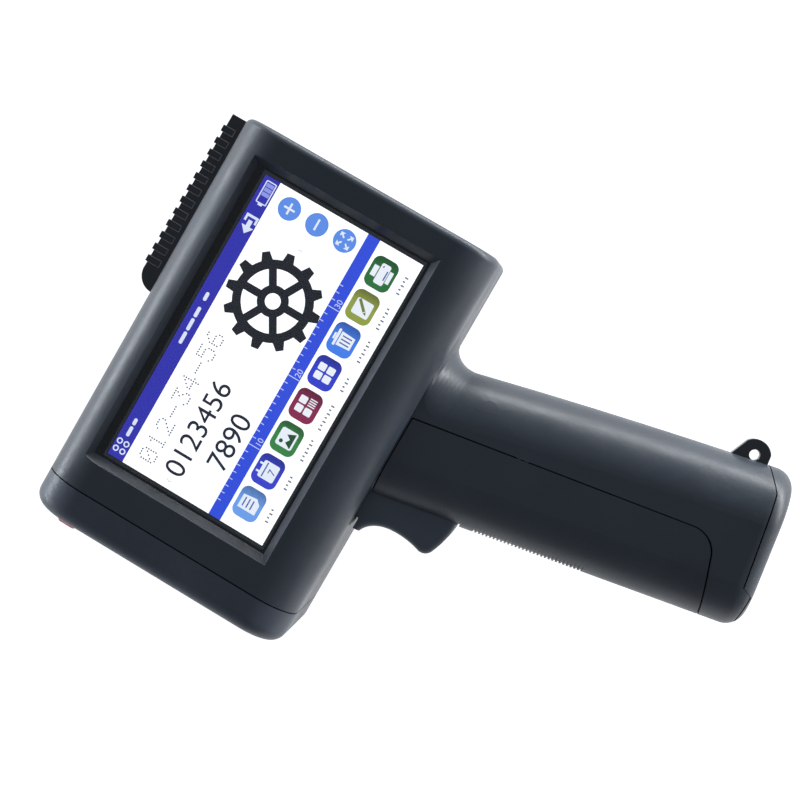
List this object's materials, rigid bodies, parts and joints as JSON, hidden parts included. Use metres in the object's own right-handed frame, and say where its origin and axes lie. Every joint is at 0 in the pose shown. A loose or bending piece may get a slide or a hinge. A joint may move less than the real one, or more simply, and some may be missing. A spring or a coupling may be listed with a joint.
{
  "type": "handheld inkjet date code printer",
  "caption": "Black pistol-grip thermal inkjet date code printer with a touchscreen, trigger, ribbed cartridge slide, nose wheels and a battery in the handle.",
  "frame": {"origin": "on the flat back of the body, behind the middle of the display", "axes": "+X along the screen towards the rear, -X out of the print nose, +Y up the screen away from the handle, +Z out of the screen"},
  "size_m": [0.1357, 0.209, 0.06],
  "materials": {
    "case_plastic": "satin black moulded ABS with a fine spark texture",
    "nose_plastic": "satin black moulded ABS with a fine spark texture",
    "grip_plastic": "satin black soft-touch plastic",
    "ribbed_plastic": "matt black plastic",
    "trigger_plastic": "satin black plastic",
    "glass": "clear touch glass with a black printed border",
    "lcd": "backlit liquid crystal display",
    "foam": "black foam",
    "steel": "brushed stainless steel",
    "screw_steel": "zinc-plated steel",
    "brass": "turned brass",
    "board": "green solder mask",
    "chip": "black epoxy",
    "ribbon": "amber polyimide film",
    "white_plastic": "white acetal",
    "dark_plastic": "dark grey nylon",
    "pink_rubber": "pinkish red polyurethane tyre",
    "ink_plastic": "black polypropylene",
    "lid_plastic": "green polypropylene",
    "gold": "gold-plated contacts",
    "cell_wrap": "blue shrink-wrapped cells",
    "magnet": "nickel-plated magnet"
  },
  "bodies": {
    "case": {"screen_shell": "case_plastic", "back_shell": "case_plastic", "nose_cap": "nose_plastic", "grip_cover": "grip_plastic", "lanyard_eye": "ribbed_plastic", "touch_glass": "glass", "lcd_panel": "lcd", "display_gasket": "foam", "display_bracket": "steel", "display_screws": "screw_steel", "main_board": "board", "main_chips": "chip", "clock_battery": "steel", "board_standoffs": "brass", "board_screws": "screw_steel", "display_ribbon": "ribbon", "driver_board": "board", "driver_chips": "chip", "buzzer": "chip", "io_board": "board", "low_board_screws": "screw_steel", "usb_port": "steel", "charge_jack": "dark_plastic", "power_switch": "chip", "slide_rails": "white_plastic", "contact_block": "dark_plastic", "contact_pins": "gold", "head_ribbon": "ribbon", "encoder_board": "board", "nose_bushes": "brass", "photocell": "dark_plastic", "print_plate": "steel", "plate_screws": "screw_steel", "trigger_pin": "steel", "trigger_spring": "steel", "trigger_switch": "chip", "battery_socket": "white_plastic", "case_screws": "screw_steel"},
    "slide": {"cartridge_slide": "dark_plastic", "slide_grip": "ribbed_plastic", "pen_clamp": "white_plastic", "clamp_springs": "steel", "ink_cartridge": "ink_plastic", "cartridge_lid": "lid_plastic", "cartridge_nozzle": "gold", "cartridge_flex": "gold"},
    "encoder": {"encoder_wheel": "white_plastic", "encoder_tyre": "pink_rubber", "encoder_axle": "steel", "encoder_magnet": "magnet"},
    "guide": {"guide_wheel": "white_plastic", "guide_tyre": "pink_rubber", "guide_axle": "steel"},
    "trigger": {"trigger": "trigger_plastic"},
    "button": {"power_button": "trigger_plastic"},
    "battery": {"battery_case": "dark_plastic", "battery_cells": "cell_wrap", "battery_terminals": "gold", "battery_cap": "case_plastic"}
  },
  "joints": [
    {"name": "trigger_pull", "type": "hinge", "parent": "case", "child": "trigger", "pos_m": [-0.022, -0.0392, 0.03], "axis": [0, 0, 1], "range_deg": [0, 6], "stiffness_Nm_per_rad": 1.2, "springref_deg": -2.86},
    {"name": "encoder_spin", "type": "hinge", "parent": "case", "child": "encoder", "pos_m": [-0.0674, 0.0294, 0.045], "axis": [0, 1, 0], "continuous": true},
    {"name": "guide_spin", "type": "hinge", "parent": "case", "child": "guide", "pos_m": [-0.0674, 0.0294, 0.015], "axis": [0, 1, 0], "continuous": true},
    {"name": "slide_pull", "type": "slide", "parent": "case", "child": "slide", "axis": [1, 0, 0], "range_m": [0, 0.135]},
    {"name": "battery_pull", "type": "slide", "parent": "case", "child": "battery", "axis": [0.1977, -0.9803, 0], "range_m": [0, 0.076]},
    {"name": "power_press", "type": "slide", "parent": "case", "child": "button", "axis": [-1, 0, 0], "range_m": [0, 0.0012], "stiffness_N_per_m": 900, "springref_m": -0.0006}
  ]
}
